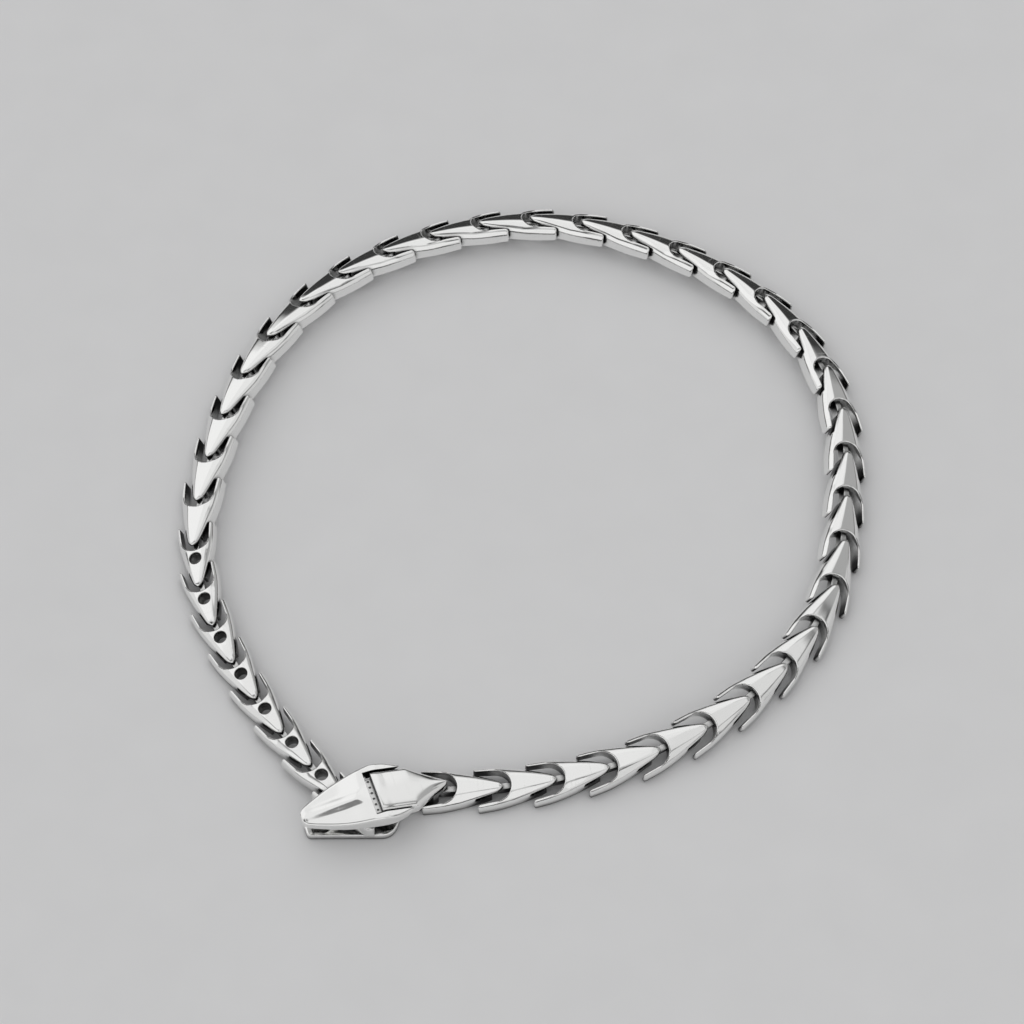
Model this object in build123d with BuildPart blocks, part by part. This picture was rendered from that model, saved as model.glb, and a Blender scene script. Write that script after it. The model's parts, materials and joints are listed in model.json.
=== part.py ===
from build123d import *
import os
from math import cos, radians, sin

# Snake bracelet lying closed, in millimetres. +X is to the right, +Y away, +Z up.
# Forty arrowhead scales run from the neck round to the tail, which passes under the head.

# Counts
PLAIN_LINKS = 32
HOLED_LINKS = 8

# One plain scale: x runs towards its point, y across, z out of its polished face
PITCH = 4.7
PIVOT_SETBACK = 0.95
POINT_REACH = 1.43
POINT_GAP = 0.72
LINK_WIDTH = 3.95
LINK_THICKNESS = 1.6
PRONG_WIDTH = 0.42
NOTCH_NARROWING = 0.13
TAIL_SCALE = 0.9
LINK_LENGTH = PIVOT_SETBACK + PITCH + POINT_REACH
NOTCH_DEPTH = PIVOT_SETBACK + POINT_REACH + POINT_GAP

# Hinge between two scales: an eye on a tongue, held by a cross pin under the point before it
LINK_PIN_RADIUS = 0.2
PIN_PLAY = 0.14
EYE_WALL = 0.16
EYE_WIDTH = 0.56
POCKET_SIDE_CLEARANCE = 0.2
POCKET_CLEARANCE = 0.12
EAR_BEYOND_PIN = 0.25
EMBED = 0.2
EYE_BORE = LINK_PIN_RADIUS + PIN_PLAY
EYE_RADIUS = EYE_BORE + EYE_WALL

# Row of holes in the tail, and the gap that the last scale keeps over the jaw plate
HOLE_RADIUS = 0.58
HOLE_FROM_POINT = 2.75
TAIL_GAP = 0.1
TAIL_THICKNESS = LINK_THICKNESS * TAIL_SCALE

# Head, in its own frame: x from the neck pin towards the nose, y towards the viewer's side
HEAD_ANGLE = 198.7
HEAD_LENGTH = 13.2
HEAD_WIDTH = 5.6
NECK_POINT = 1.3
JAW_THICKNESS = 0.7
RIM_GAP = 0.22
SNOUT_HEIGHT = 1.5
SNOUT_WALL = 0.42
RIM_HEIGHT = JAW_THICKNESS + TAIL_GAP + TAIL_THICKNESS + RIM_GAP
HEAD_HEIGHT = RIM_HEIGHT + SNOUT_HEIGHT
NOSE = HEAD_LENGTH - NECK_POINT

# The slot between snout and crown, with a dotted ledge in it
SLOT_AT = 5.05
SLOT_WIDTH = 0.62
SNOUT_REAR = SLOT_AT + SLOT_WIDTH
LEDGE_DEPTH = 0.9
LEDGE_SIDE_GAP = 0.4
LEDGE_REACH = 0.8
LEDGE_THICKNESS = 0.6
DOT_COUNT = 6
DOT_RADIUS = 0.11
DOT_DEPTH = 0.08

# Cheeks, and the pin that they turn on; behind the slot they keep a share of the head's width
CHEEK_WALL = 0.66
CHEEK_CLEARANCE = 0.1
CHEEK_SPREAD = 0.94
CHEEK_INNER = HEAD_WIDTH / 2 - CHEEK_WALL
HINGE_RADIUS = 0.22
HINGE_CLEARANCE = 0.06
HINGE_BEFORE_SLOT = 0.95
HINGE_ABOVE_RIM = 0.42
HINGE_EMBED = CHEEK_WALL / 2
HINGE_AT = SLOT_AT - HINGE_BEFORE_SLOT
HINGE_HEIGHT = RIM_HEIGHT + HINGE_ABOVE_RIM
CHEEK_TAIL_TOP = 2.0
CHEEK_TAIL_BOTTOM = 1.1

# Neck under the crown
NECK_WIDTH = 2.2
NECK_FLOOR = 0.1
NECK_SIDE_CLEARANCE = 0.36
NECK_EAR_BEYOND_PIN = 0.11
CROWN_THICKNESS = 2.1

# Jaw plate and the peg that holds the tail
JAW_REAR = 3.5
JAW_REAR_WIDTH = 3.4
JAW_WIDEST = 4.6
JAW_SPREAD = 0.18
JAW_NOSE_WIDTH = 1.3
JAW_CORNER = 1.4
JAW_NOSE_CORNER = 0.43
JAW_SETBACK = 0.35
NECK_OVERLAP = 0.7
PEG_AT = 7.2
PEG_CLEARANCE = 0.1
PEG_RISE = 0.35

# The route of the cross pins, from the neck round to the peg: x and y
ROUTE = [
    (-6.9, -29.25),
    (3.7, -28.3),
    (13.8, -24.9),
    (22.3, -18.7),
    (28.1, -10.2),
    (30.0, 0.4),
    (29.5, 11.5),
    (24.2, 21.2),
    (14.9, 27.8),
    (3.9, 31.0),
    (-7.3, 29.3),
    (-17.1, 23.8),
    (-23.7, 15.0),
    (-27.3, 4.2),
    (-28.0, -6.4),
    (-24.9, -15.6),
    (-19.9, -23.9),
    (-13.7, -31.6),
]

# Outward lean of the polished faces: share of the chain's length, degrees from level
LEAN = [
    (0.00, 3.0),
    (0.16, 22.0),
    (0.38, 28.0),
    (0.55, 24.0),
    (0.80, 22.0),
    (1.00, 0.0),
]
CLIMB_LINKS = 5
LENGTH_PASSES = 6

# Sections of a scale: share of its length from the prongs, then shares of half its width
# and of its thickness at the crown and at the top of the side wall
LINK_SECTIONS = [
    (0.00, 1.00, 0.86, 0.52),
    (0.28, 0.92, 0.97, 0.60),
    (0.62, 0.64, 1.00, 0.66),
    (0.88, 0.34, 0.92, 0.70),
    (1.00, 0.13, 0.84, 0.72),
]

# Sections of the head: share of its length from the neck's point, then shares of half its
# width and of its height at the crown and at the top of the side wall
HEAD_SECTIONS = [
    (0.00, 0.10, 0.50, 0.40),
    (0.16, 0.50, 0.67, 0.55),
    (0.27, 0.80, 0.79, 0.68),
    (0.39, 0.99, 0.91, 0.79),
    (0.49, 0.99, 1.00, 0.86),
    (0.72, 0.78, 0.89, 0.78),
    (0.90, 0.47, 0.81, 0.74),
    (1.00, 0.25, 0.78, 0.72),
]

# Shoulders between side wall and crown: shares of the half width and of the rise that they
# take, and how flat they are, from 0.29 for a quarter circle to 0.5 for a plain bevel
SCALE_SHOULDER = (0.30, 0.86, 0.32)
HEAD_SHOULDER = (0.18, 0.55, 0.32)

# How far a cut runs on outside the metal
BEYOND = 1.0


def table_value(rows, at):
    """The value at a share of the length, in a straight line between the table's rows."""
    for (low, first), (high, second) in zip(rows, rows[1:]):
        if at <= high:
            return first + (second - first) * (at - low) / (high - low)
    return rows[-1][1]


def domed_section(x, half, crown, wall, base, shoulder):
    """A closed section across x: upright sides, round shoulders and a low crown."""
    width, rise, flatness = shoulder
    inner = half * (1 - width)
    top = wall + (crown - wall) * rise
    middle = half - (half - inner) * flatness
    knee = top - (top - wall) * flatness
    with BuildSketch(Plane.YZ.offset(x)) as section:
        with BuildLine():
            Polyline((-half, wall), (-half, base), (half, base), (half, wall))
            ThreePointArc((half, wall), (middle, knee), (inner, top))
            ThreePointArc((inner, top), (0, crown), (-inner, top))
            ThreePointArc((-inner, top), (-middle, knee), (-half, wall))
        make_face()
    return section.sketch


def side_face(*points):
    """A face in the side view, from its corners: x and height."""
    with BuildSketch(Plane.XZ) as side:
        with BuildLine():
            Polyline(*points, close=True)
        make_face()
    return side.sketch


def side_block(near, far, height):
    """A face in the side view between two x positions, from under the base up to a height."""
    return side_face((near, -BEYOND), (near, height), (far, height), (far, -BEYOND))


def build_link(scale, holed, carries_next):
    """One scale in its own frame, with its front pivot over the origin and its base at z = 0."""
    rear_pivot = PITCH * scale
    prongs = -PIVOT_SETBACK * scale
    length = LINK_LENGTH * scale
    point = prongs + length
    half = LINK_WIDTH * scale / 2
    thickness = LINK_THICKNESS * scale
    eye = EYE_RADIUS * scale
    notch_open = half - PRONG_WIDTH * scale
    notch_half = notch_open - NOTCH_NARROWING * scale
    notch_end = prongs + NOTCH_DEPTH * scale
    notch_arc = notch_end - notch_half
    tongue_end = notch_end + EMBED * scale
    pocket_half = (EYE_WIDTH / 2 + POCKET_SIDE_CLEARANCE) * scale
    pocket_start = rear_pivot - eye - POCKET_CLEARANCE
    pocket_top = 2 * eye + POCKET_CLEARANCE
    ears_end = rear_pivot + (LINK_PIN_RADIUS + EAR_BEYOND_PIN) * scale
    sections = []
    for at, width, crown, wall in LINK_SECTIONS:
        x = prongs + at * length
        top, side = crown * thickness, wall * thickness
        sections.append(domed_section(x, width * half, top, side, 0, SCALE_SHOULDER))
    pocket = side_block(pocket_start, 2 * length, pocket_top)
    past_ears = side_block(ears_end, 2 * length, pocket_top)
    with BuildPart() as body:
        loft(sections)
        with BuildSketch(Plane.XY):
            with BuildLine():
                Line((prongs, notch_open), (notch_arc, notch_half))
                ThreePointArc((notch_arc, notch_half), (notch_end, 0), (notch_arc, -notch_half))
                Polyline((notch_arc, -notch_half), (prongs, -notch_open), (prongs, notch_open))
            make_face()
        extrude(amount=thickness + BEYOND, mode=Mode.SUBTRACT)
        if carries_next:
            extrude(pocket, amount=pocket_half, both=True, mode=Mode.SUBTRACT)
            extrude(past_ears, amount=half, both=True, mode=Mode.SUBTRACT)
            with BuildSketch(Plane.XZ):
                with Locations((rear_pivot, eye)):
                    Circle(LINK_PIN_RADIUS * scale)
            extrude(amount=pocket_half + EMBED * scale, both=True)
        with BuildSketch(Plane.XZ):
            with Locations((0, eye)):
                Circle(eye)
            with BuildLine():
                Polyline((0, 0), (tongue_end, 0), (tongue_end, 2 * eye), (0, 2 * eye), close=True)
            make_face()
            with Locations((0, eye)):
                Circle(EYE_BORE * scale, mode=Mode.SUBTRACT)
        extrude(amount=EYE_WIDTH * scale / 2, both=True)
        if holed:
            with BuildSketch(Plane.XY):
                with Locations((point - HOLE_FROM_POINT, 0)):
                    Circle(HOLE_RADIUS)
            extrude(amount=thickness + BEYOND, mode=Mode.SUBTRACT)
    return body.part


def rest_height(scale, lean):
    """Height of a pin over the surface when the scale's outer edge lies on it."""
    half = LINK_WIDTH * scale / 2
    return half * sin(radians(lean)) + EYE_RADIUS * scale * cos(radians(lean))


def route_curve(spread):
    """The route from the neck to the peg, its other points moved off the line between those two."""
    first = Vector(*ROUTE[0])
    last = Vector(*ROUTE[-1])
    peg = first + Vector(PEG_AT, 0).rotate(Axis.Z, HEAD_ANGLE)
    points = []
    for i, point in enumerate(ROUTE):
        share = i / (len(ROUTE) - 1)
        offset = Vector(*point) - first - (last - first) * share
        points.append(first + (peg - first) * share + offset * spread)
    return Spline(*points, mode=Mode.PRIVATE)


# Lengths along the route: every pin, then the peg in the last scale's hole
SCALES = [1.0] * PLAIN_LINKS + [TAIL_SCALE] * HOLED_LINKS
LINK_COUNT = len(SCALES)
STEPS = [PITCH * scale for scale in SCALES[:-1]]
LAST_STEP = (LINK_LENGTH - PIVOT_SETBACK) * TAIL_SCALE - HOLE_FROM_POINT
CHAIN_LENGTH = sum(STEPS) + LAST_STEP

spread = 1.0
for _ in range(LENGTH_PASSES):
    spread *= CHAIN_LENGTH / route_curve(spread).length
route = route_curve(spread)

# The lean of each scale, and the height at which each rests on its outer edge
middles = [sum(STEPS[:i]) + step / 2 for i, step in enumerate(STEPS)]
leans = [table_value(LEAN, middle / CHAIN_LENGTH) for middle in middles] + [0.0]
rests = [rest_height(scale, lean) for scale, lean in zip(SCALES, leans)]

# The tail climbs on to the jaw plate over its last scales
plate_pin_height = JAW_THICKNESS + TAIL_GAP + EYE_RADIUS * TAIL_SCALE
climb_start = LINK_COUNT - CLIMB_LINKS

pins = []
travelled = 0.0
for i, step in enumerate(STEPS + [LAST_STEP, 0]):
    spot = route.position_at(travelled, position_mode=PositionMode.LENGTH)
    height = max(rests[max(i - 1, 0) : i + 1])
    if i > climb_start:
        climbed = min((i - climb_start) / (CLIMB_LINKS - 1), 1)
        height = rests[climb_start] + (plate_pin_height - rests[climb_start]) * climbed
    pins.append(Vector(spot.X, spot.Y, height))
    travelled += step

plain_link = build_link(1.0, holed=False, carries_next=True)
holed_link = build_link(TAIL_SCALE, holed=True, carries_next=True)
last_link = build_link(TAIL_SCALE, holed=True, carries_next=False)


def link_plane(i):
    """The plane of a scale: x along its two pins, z out of its leaning face."""
    along = (pins[i + 1] - pins[i]).normalized()
    outward = along.cross(Vector(0, 0, 1)).normalized()
    upright = outward.cross(along)
    lean = radians(leans[i])
    face = upright * cos(lean) + outward * sin(lean)
    return Plane(origin=pins[i] - face * (EYE_RADIUS * SCALES[i]), x_dir=along, z_dir=face)


nodes = []
for i in range(LINK_COUNT):
    if i == LINK_COUNT - 1:
        shape = last_link
    elif i >= PLAIN_LINKS:
        shape = holed_link
    else:
        shape = plain_link
    with BuildPart() as link:
        with Locations(link_plane(i)):
            add(shape)
    link.part.label = f"link_{i + 1:02d}"
    nodes.append(link.part)

# The head's own frame stands on the surface, under the neck pin
neck_pivot = pins[0].Z
head_plane = Plane(
    origin=(pins[0].X, pins[0].Y, 0),
    x_dir=Vector(1, 0, 0).rotate(Axis.Z, HEAD_ANGLE),
    z_dir=(0, 0, 1),
)


def head_form(low, high, inset, base, rear_width=0.0):
    """The head's outer form between two x positions, drawn in by a wall's thickness."""
    columns = [[(row[0], row[i]) for row in HEAD_SECTIONS] for i in (1, 2, 3)]
    places = [row[0] * HEAD_LENGTH - NECK_POINT for row in HEAD_SECTIONS]
    places = [low] + [x for x in places if low < x < high] + [high]
    sections = []
    for x in places:
        share = (x + NECK_POINT) / HEAD_LENGTH
        width, crown, wall = (table_value(column, share) for column in columns)
        if x < SLOT_AT:
            width = max(width, rear_width)
        half = width * HEAD_WIDTH / 2 - inset
        crown_top = crown * HEAD_HEIGHT - inset
        wall_top = wall * HEAD_HEIGHT - inset
        sections.append(domed_section(x, half, crown_top, wall_top, base, HEAD_SHOULDER))
    with BuildPart() as form:
        loft(sections, ruled=True)
    return form.part


# Snout: the upper jaw with its two cheeks, hollow underneath
cheek_top = HINGE_AT - CHEEK_TAIL_TOP
cheek_bottom = HINGE_AT - CHEEK_TAIL_BOTTOM
crown_room = side_face((0, 0), (0, HEAD_HEIGHT), (SNOUT_REAR, HEAD_HEIGHT), (SNOUT_REAR, 0))
below_rim = side_block(0, HEAD_LENGTH, RIM_HEIGHT)
behind_cheeks = side_face(
    (0, HEAD_HEIGHT),
    (cheek_top, HEAD_HEIGHT),
    (cheek_top, HINGE_HEIGHT + HINGE_RADIUS),
    (cheek_bottom, RIM_HEIGHT),
    (0, RIM_HEIGHT),
)
with BuildPart() as snout:
    add(head_form(cheek_top - BEYOND, NOSE, 0, 0, CHEEK_SPREAD))
    extrude(crown_room, amount=CHEEK_INNER, both=True, mode=Mode.SUBTRACT)
    extrude(below_rim, amount=HEAD_WIDTH, both=True, mode=Mode.SUBTRACT)
    extrude(behind_cheeks, amount=HEAD_WIDTH, both=True, mode=Mode.SUBTRACT)
    add(head_form(SNOUT_REAR, NOSE - 2 * SNOUT_WALL, SNOUT_WALL, 0), mode=Mode.SUBTRACT)
    with BuildSketch(Plane.XZ):
        with Locations((HINGE_AT, HINGE_HEIGHT)):
            Circle(HINGE_RADIUS + HINGE_CLEARANCE)
    extrude(amount=CHEEK_INNER + HINGE_EMBED, both=True, mode=Mode.SUBTRACT)

# Head base: crown, neck, ledge in the slot, jaw plate and peg, cast and soldered as one piece
base_half = CHEEK_INNER - CHEEK_CLEARANCE
crown_floor = HEAD_HEIGHT - CROWN_THICKNESS
neck_end = JAW_REAR + NECK_OVERLAP
ledge_top = HEAD_HEIGHT - LEDGE_DEPTH
ledge_half = CHEEK_INNER - LEDGE_SIDE_GAP
ledge = side_face(
    (SLOT_AT - LEDGE_REACH, ledge_top - LEDGE_THICKNESS),
    (SLOT_AT - LEDGE_REACH, ledge_top),
    (SLOT_AT + LEDGE_REACH, ledge_top),
    (SLOT_AT + LEDGE_REACH, ledge_top - LEDGE_THICKNESS),
)
pocket_top = neck_pivot + EYE_RADIUS + POCKET_CLEARANCE
pocket_end = EYE_RADIUS + POCKET_CLEARANCE
pocket_half = EYE_WIDTH / 2 + NECK_SIDE_CLEARANCE
neck_ears_end = -LINK_PIN_RADIUS - NECK_EAR_BEYOND_PIN
tail_top = JAW_THICKNESS + TAIL_GAP + TAIL_THICKNESS
neck_pocket = side_block(-HEAD_LENGTH, pocket_end, pocket_top)
past_neck_ears = side_block(-HEAD_LENGTH, neck_ears_end, pocket_top)
with BuildPart() as head_base:
    add(head_form(-NECK_POINT, SLOT_AT, 0, NECK_FLOOR))
    with BuildSketch(Plane.XY):
        Rectangle(2 * HEAD_LENGTH, 2 * HEAD_WIDTH)
        Rectangle(2 * HEAD_LENGTH, 2 * base_half, mode=Mode.SUBTRACT)
    extrude(amount=HEAD_HEIGHT, mode=Mode.SUBTRACT)
    with BuildSketch(Plane.XY):
        Rectangle(2 * HEAD_LENGTH, 2 * HEAD_WIDTH)
        with Locations((neck_end - HEAD_LENGTH, 0)):
            Rectangle(2 * HEAD_LENGTH, NECK_WIDTH, mode=Mode.SUBTRACT)
    extrude(amount=crown_floor, mode=Mode.SUBTRACT)
    extrude(ledge, amount=ledge_half, both=True)
    with BuildSketch(Plane.XY.offset(ledge_top)):
        with Locations((SLOT_AT + SLOT_WIDTH / 2, 0)):
            with GridLocations(0, 2 * ledge_half / DOT_COUNT, 1, DOT_COUNT):
                Circle(DOT_RADIUS)
    extrude(amount=-DOT_DEPTH, mode=Mode.SUBTRACT)
    extrude(neck_pocket, amount=pocket_half, both=True, mode=Mode.SUBTRACT)
    extrude(past_neck_ears, amount=HEAD_WIDTH, both=True, mode=Mode.SUBTRACT)
    with BuildSketch(Plane.XZ):
        with Locations((0, neck_pivot)):
            Circle(LINK_PIN_RADIUS)
    extrude(amount=pocket_half + EMBED, both=True)
    with BuildSketch(Plane.XY):
        with BuildLine():
            Polyline(
                (JAW_REAR, JAW_REAR_WIDTH / 2),
                (JAW_WIDEST, HEAD_WIDTH / 2 + JAW_SPREAD),
                (NOSE - JAW_SETBACK, JAW_NOSE_WIDTH / 2),
                (NOSE - JAW_SETBACK, -JAW_NOSE_WIDTH / 2),
                (JAW_WIDEST, -HEAD_WIDTH / 2 - JAW_SPREAD),
                (JAW_REAR, -JAW_REAR_WIDTH / 2),
                close=True,
            )
        make_face()
        fillet(vertices().sort_by(Axis.X)[:4], JAW_CORNER)
        fillet(vertices().sort_by(Axis.X)[-2:], JAW_NOSE_CORNER)
    extrude(amount=JAW_THICKNESS)
    with BuildSketch(Plane.XY):
        with Locations((PEG_AT, 0)):
            Circle(HOLE_RADIUS - PEG_CLEARANCE)
    extrude(amount=tail_top + PEG_RISE)
    with BuildSketch(Plane.XZ):
        with Locations((HINGE_AT, HINGE_HEIGHT)):
            Circle(HINGE_RADIUS + HINGE_CLEARANCE)
    extrude(amount=HEAD_WIDTH, both=True, mode=Mode.SUBTRACT)

# Hinge pin: runs from cheek to cheek through the crown
with BuildPart() as hinge_pin:
    with BuildSketch(Plane.XZ):
        with Locations((HINGE_AT, HINGE_HEIGHT)):
            Circle(HINGE_RADIUS)
    extrude(amount=CHEEK_INNER + HINGE_EMBED - HINGE_CLEARANCE, both=True)

for piece, label in ((snout, "snout"), (head_base, "head_base"), (hinge_pin, "hinge_pin")):
    with BuildPart() as placed:
        with Locations(head_plane):
            add(piece.part)
    placed.part.label = label
    nodes.append(placed.part)

# The origin is the middle of the outline, on the surface
boxes = [node.bounding_box() for node in nodes]
left = min(box.min.X for box in boxes)
right = max(box.max.X for box in boxes)
front = min(box.min.Y for box in boxes)
back = max(box.max.Y for box in boxes)
lowest = min(box.min.Z for box in boxes)
shift = Location((-(left + right) / 2, -(front + back) / 2, -lowest))
hinge = shift * head_plane.location * Location((HINGE_AT, 0, HINGE_HEIGHT))
print("length from neck to peg", round(route.length, 3), "shift", shift.position)
print("hinge", hinge.position, "towards the nose", head_plane.x_dir)
os.makedirs("parts", exist_ok=True)
for node in nodes:
    with BuildPart() as placed:
        with Locations(shift):
            add(node)
    placed.part.label = node.label
    export_step(placed.part, f"parts/{node.label}.step")
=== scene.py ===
import json
import math

import bmesh
import bpy
import numpy as np
from mathutils import Matrix, Vector


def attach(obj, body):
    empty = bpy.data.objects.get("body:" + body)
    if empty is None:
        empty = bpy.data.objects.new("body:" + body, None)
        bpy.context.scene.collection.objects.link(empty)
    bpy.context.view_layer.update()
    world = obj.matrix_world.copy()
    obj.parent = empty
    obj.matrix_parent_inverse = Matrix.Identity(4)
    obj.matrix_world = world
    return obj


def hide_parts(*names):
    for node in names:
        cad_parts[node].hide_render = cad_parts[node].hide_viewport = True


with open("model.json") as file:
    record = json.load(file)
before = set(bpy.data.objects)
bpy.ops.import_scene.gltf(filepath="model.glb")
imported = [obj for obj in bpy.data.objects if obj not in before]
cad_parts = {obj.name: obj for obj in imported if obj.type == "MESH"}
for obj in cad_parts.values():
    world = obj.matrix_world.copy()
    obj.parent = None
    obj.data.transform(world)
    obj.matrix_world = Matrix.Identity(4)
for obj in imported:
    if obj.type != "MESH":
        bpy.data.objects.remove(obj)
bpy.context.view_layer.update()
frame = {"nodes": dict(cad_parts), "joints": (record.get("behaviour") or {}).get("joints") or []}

MM = 0.001
UP = Vector((0, 0, 1))

# Sizes of one scale, in mm; the drilled scales of the tail are the same at TAIL_SIZE
PITCH = 4.7
PIVOT_SETBACK = 0.95
POINT_REACH = 1.43
POINT_GAP = 0.72
SCALE_LENGTH = PIVOT_SETBACK + PITCH + POINT_REACH
SCALE_WIDTH = 3.95
SCALE_THICKNESS = 1.6
PRONG_WIDTH = 0.42
NOTCH_NARROWING = 0.13
NOTCH_DEPTH = PIVOT_SETBACK + POINT_REACH + POINT_GAP
TAIL_SIZE = 0.9
PIN_RADIUS = 0.2
PIN_SEAT = 0.2
EYE_BORE = 0.34
EYE_RADIUS = 0.5
EYE_WIDTH = 0.56
TONGUE_ROOT = 0.2
POCKET_SIDE = 0.2
POCKET_ROOM = 0.12
EAR_BEYOND_PIN = 0.25
HOLE_RADIUS = 0.58
HOLE_FROM_POINT = 2.75
SOFT_EDGE = 0.05

# The hole's chamfer: how much wider, and how far above the face
COUNTERSINK = [(0.0, -0.07), (0.02, -0.03), (0.10, 0.05), (0.10, 1.0)]

# Share of the length from the prongs; half width, crown and side wall as shares of their sizes
SCALE_FORM = [
    (0.00, 1.00, 0.86, 0.38),
    (0.28, 0.92, 0.97, 0.45),
    (0.62, 0.65, 1.00, 0.50),
    (0.88, 0.36, 0.93, 0.54),
    (1.00, 0.17, 0.86, 0.56),
]
# The bevel's width as a share of the half width, and the part of that width at the prongs
BEVEL_SHARE = 0.46
PRONG_BEVEL = 0.55
# How far the bevel rises from the wall to the crown, and its slope where it meets the face
BEVEL_RISE = 0.92
BEVEL_SLOPE = math.tan(math.radians(24))
FACE_POWER = 6
NARROWEST_FACE = 0.35
RIM_ROUND = 0.12
FOOT_ROUND = 0.07
FOOT_SHARE = 0.6
PRONG_ROUND = 0.19
POINT_ROUND = 0.42
POINT_DROP = 0.12

# Sizes of the head, in mm: x from the neck pin to the nose, y towards the front, z up
HEAD_LENGTH = 13.2
HEAD_WIDTH = 5.6
NECK_POINT = 1.3
NOSE = HEAD_LENGTH - NECK_POINT
JAW_THICKNESS = 0.7
TAIL_GAP = 0.1
TAIL_TOP = JAW_THICKNESS + TAIL_GAP + SCALE_THICKNESS * TAIL_SIZE
RIM_HEIGHT = TAIL_TOP + 0.22
HEAD_HEIGHT = RIM_HEIGHT + 1.5
SNOUT_WALL = 0.42
ROOM_SHOULDER = 0.82
ROOM_SIDE = 0.7
SLOT_AT = 5.05
SNOUT_REAR = 5.67
ROOM_REAR = SNOUT_REAR - 0.3
LEDGE_TOP = HEAD_HEIGHT - 0.9
LEDGE_THICKNESS = 0.6
LEDGE_REACH = 0.8
DOT_COUNT = 6
DOT_RADIUS = 0.11
DOT_DEPTH = 0.08
DOT_BOTTOM = 0.05
DOT_CORNER = 0.03
DOT_DRILL = 0.3
FROST_BELOW = 0.1
FROST_ABOVE = 0.001
CHEEK_INNER = HEAD_WIDTH / 2 - 0.66
CHEEK_SPREAD = 0.84
CROWN_HALF = CHEEK_INNER - 0.1
CROWN_FLOOR = HEAD_HEIGHT - 2.1
LEDGE_HALF = CHEEK_INNER - 0.4
HINGE_AT = 4.1
HINGE_HEIGHT = RIM_HEIGHT + 0.42
HINGE_RADIUS = 0.22
HINGE_BORE = HINGE_RADIUS + 0.06
HINGE_REACH = CHEEK_INNER + 0.29
CHEEK_TOP = HINGE_AT - 2.0
CHEEK_BOTTOM = HINGE_AT - 1.1
CHEEK_LEAN = 0.5
SNOUT_START = CHEEK_TOP - 0.4
NECK_HALF = 1.1
NECK_END = 4.2
NECK_FLOOR = 0.1
NECK_POCKET = 0.64
NECK_EARS_END = -0.31
PEG_AT = 7.2
PEG_RADIUS = HOLE_RADIUS - 0.1
PEG_RISE = 0.35
PEG_SEAT = 0.1
RIDGE_APEX = 6.75
RIDGE_HALF = 0.08
COVE_WIDTH = 0.75
COVE_DEPTH = 0.15
COVE_SHARE = 0.8
SLOT_BLEND = 0.08
SHOULDER = 0.22
SHOULDER_SHARE = 0.3
FACET_FALL = 0.55
NOSE_ROUND = 0.55
NOSE_FLAT = 0.12
NOSE_DROP = 0.3
BLUNT_POWER = 2.6
TIP_ROUND = 0.3
TIP_FLAT = 0.1
CROWN_SHOULDER = 0.42
CROWN_SHOULDER_SHARE = 0.45
CROWN_SIDE = 0.62
CROWN_DOME = 0.12
KNEE = 0.8

# Share of the head's length from the neck's point; half width, crown and side wall as shares
HEAD_FORM = [
    (0.00, 0.10, 0.50, 0.40),
    (0.16, 0.50, 0.67, 0.55),
    (0.27, 0.80, 0.79, 0.68),
    (0.39, 0.99, 0.91, 0.79),
    (0.49, 0.99, 1.00, 0.86),
    (0.72, 0.78, 0.89, 0.78),
    (0.90, 0.47, 0.81, 0.74),
    (1.00, 0.25, 0.78, 0.72),
]
# Corners of one side of the jaw plate: x, y and radius
JAW_CORNERS = [
    (3.5, 1.7, 1.4),
    (4.6, HEAD_WIDTH / 2 + 0.18, 1.4),
    (NOSE - 0.35, 0.65, 0.43),
]
# The jaw plate's softened edge: how far in from its outline, and height
JAW_EDGE = [
    (0.09, 0),
    (0.03, 0.03),
    (0, 0.1),
    (0, 0.55),
    (0.03, 0.64),
    (0.09, 0.69),
    (0.16, JAW_THICKNESS),
]
# The peg's rounded top: how far in from its side, and below its end
PEG_TOP = [(0, 0.12), (0.04, 0.04), (0.14, 0)]

PLAIN = [f"link_{i:02d}" for i in range(1, 33)]
HOLED = [f"link_{i:02d}" for i in range(33, 40)]
LAST = "link_40"

# Fineness of the meshes
NOTCH_COLUMNS = 26
COLUMN_CROWDING = 0.45
SPLIT_BEHIND_NOTCH = 0.45
BODY_COLUMNS = 24
POINT_COLUMNS = 8
MIDDLE_SPACING = 0.9
FACE_ROWS = 9
FACE_SPACING = 1.5
BEVEL_STEPS = (0.0, 0.2, 0.4, 0.58, 0.74, 0.87, 0.95, 1.0)
RIM_STEPS = 5
FOOT_STEPS = 3
WALL_STEPS = 4
PRONG_TURNS = (22.5, 45, 67.5, 90)
ROOF_STEPS = 12
SNOUT_COLUMNS = 56
NOSE_COLUMNS = 9
ROOM_COLUMNS = 30
TIP_COLUMNS = 6
CROWN_COLUMNS = 44
CORNER_STEPS = 7
PIN_SIDES = 24
BORE_SIDES = 40
HOLE_SIDES = 48
DOT_SIDES = 20

# Turn from which an edge stays sharp, how near points are one, and how far a cutter reaches past, in mm
SHARP = math.radians(38)
WELD = 1e-4
FINE_WELD = 1e-5
SAME_SPOT = 1e-7
TINY = 1e-6
PAST = 1.0


# Form of one scale
def smooth_row(rows, at, column):
    """A smooth value between the rows of a form table."""
    xs = [row[0] for row in rows]
    ys = [row[column] for row in rows]
    slopes = []
    for i in range(len(xs)):
        low, high = max(i - 1, 0), min(i + 1, len(xs) - 1)
        slopes.append((ys[high] - ys[low]) / (xs[high] - xs[low]))
    at = min(max(at, xs[0]), xs[-1])
    i = min(sum(at > x for x in xs[1:]), len(xs) - 2)
    step = xs[i + 1] - xs[i]
    t = (at - xs[i]) / step
    return (
        (2 * t**3 - 3 * t**2 + 1) * ys[i]
        + (t**3 - 2 * t**2 + t) * step * slopes[i]
        + (3 * t**2 - 2 * t**3) * ys[i + 1]
        + (t**3 - t**2) * step * slopes[i + 1]
    )


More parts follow.
